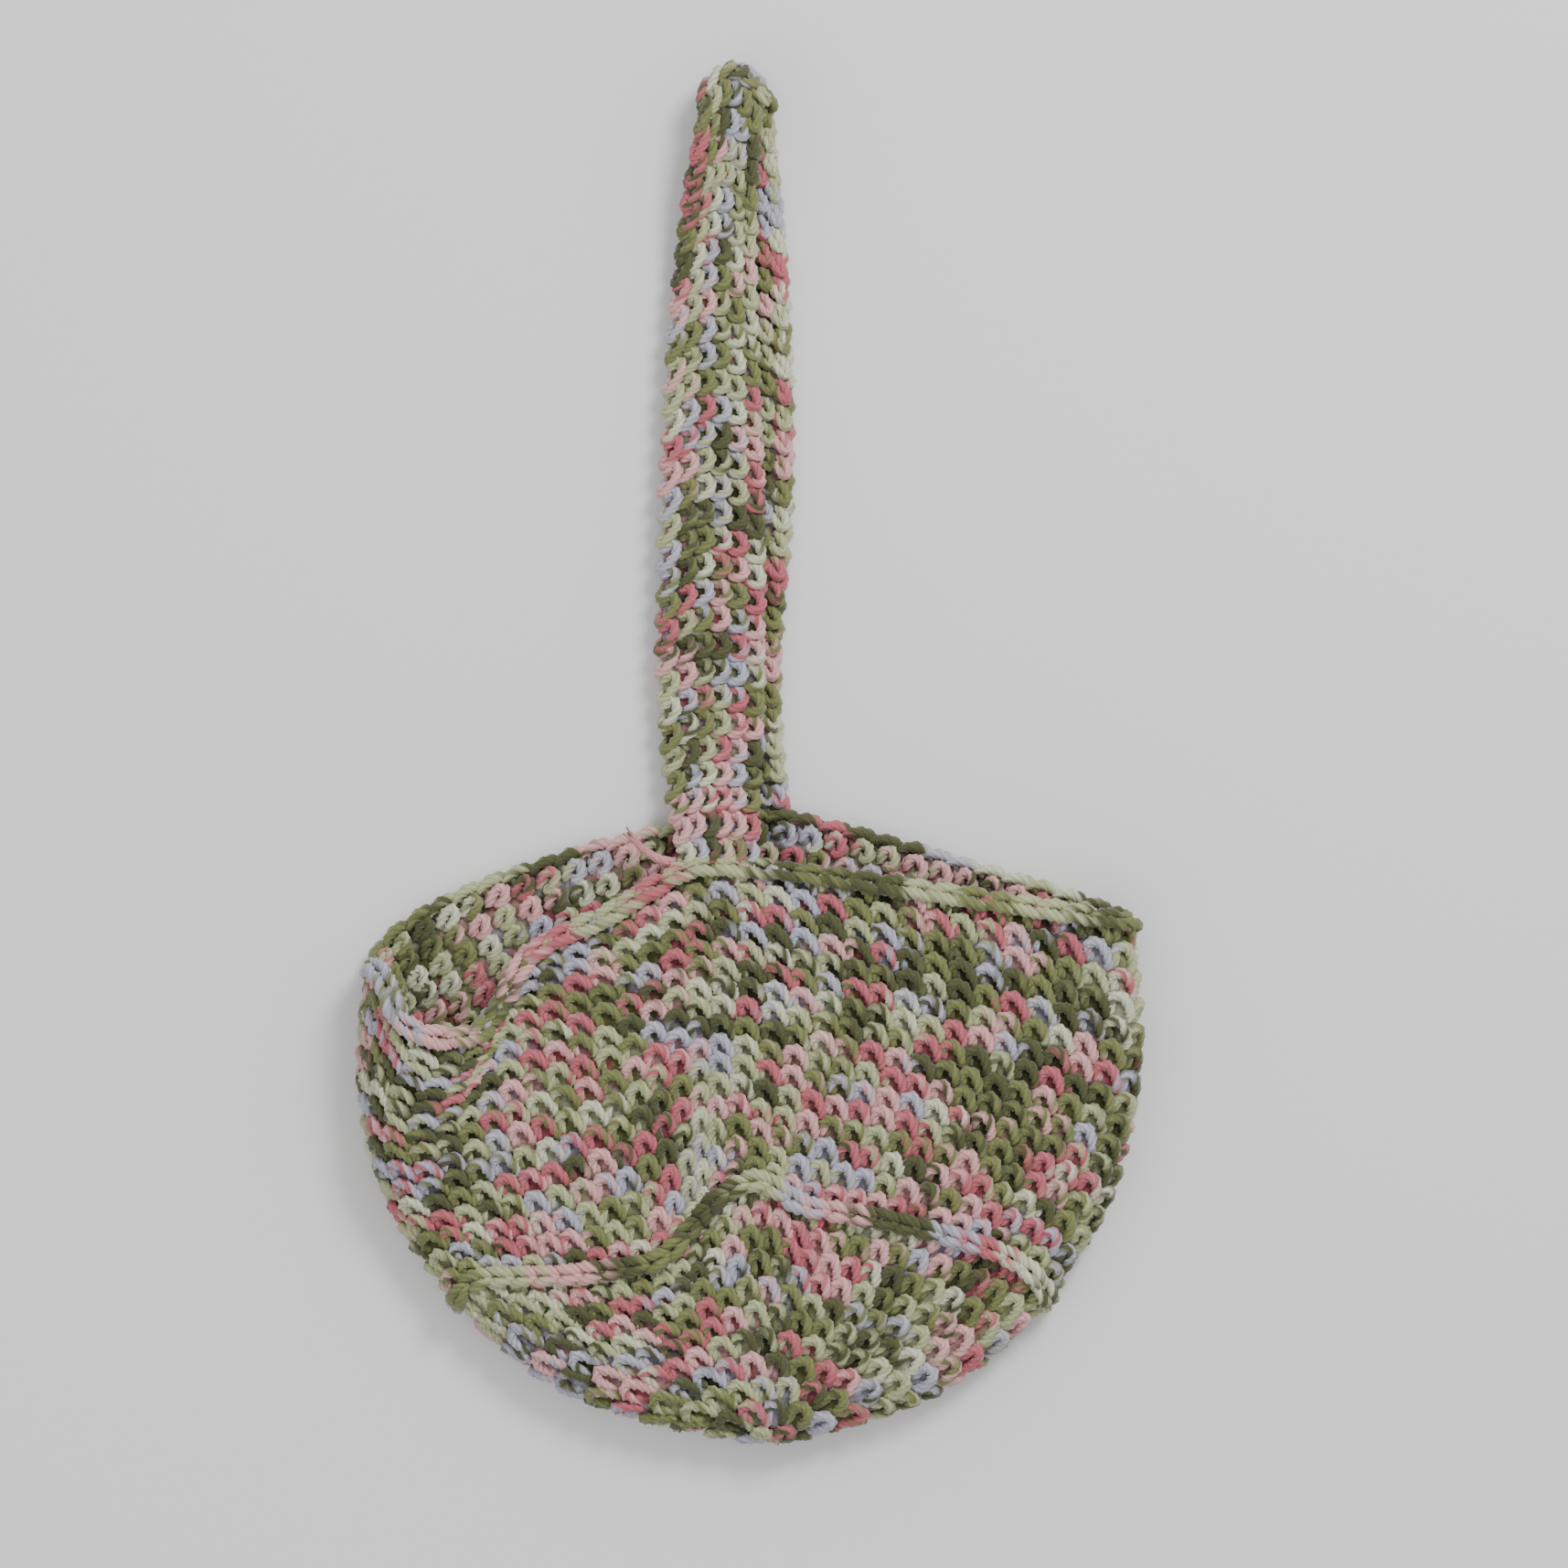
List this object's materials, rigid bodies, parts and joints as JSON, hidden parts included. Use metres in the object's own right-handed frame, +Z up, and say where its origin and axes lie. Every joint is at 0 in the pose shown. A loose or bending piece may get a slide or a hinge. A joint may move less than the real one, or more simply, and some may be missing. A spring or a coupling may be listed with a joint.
{
  "type": "crocheted pouch bag with strap",
  "caption": "Round-bottomed crocheted pouch in mottled yarn, lying flat with its mouth part open, with one crocheted strap folded into a loop from the front rim to the back rim.",
  "frame": {"origin": "bottom centre of the bounding box, on the surface that the bag lies on", "axes": "+X to the right of the bag's front, +Y from the bag's bottom to the top of its strap, +Z up out of the surface that it lies on"},
  "size_m": [0.1968, 0.347, 0.0299],
  "materials": {
    "body_yarn": "matte",
    "edging_yarn": "matte",
    "strap_yarn": "matte",
    "tail_yarn": "matte"
  },
  "bodies": {
    "root": {"bag_base": "body_yarn", "base_ridge": "edging_yarn", "bag_wall": "body_yarn", "rim_edging": "edging_yarn", "strap": "strap_yarn", "yarn_tail": "tail_yarn"}
  },
  "joints": []
}
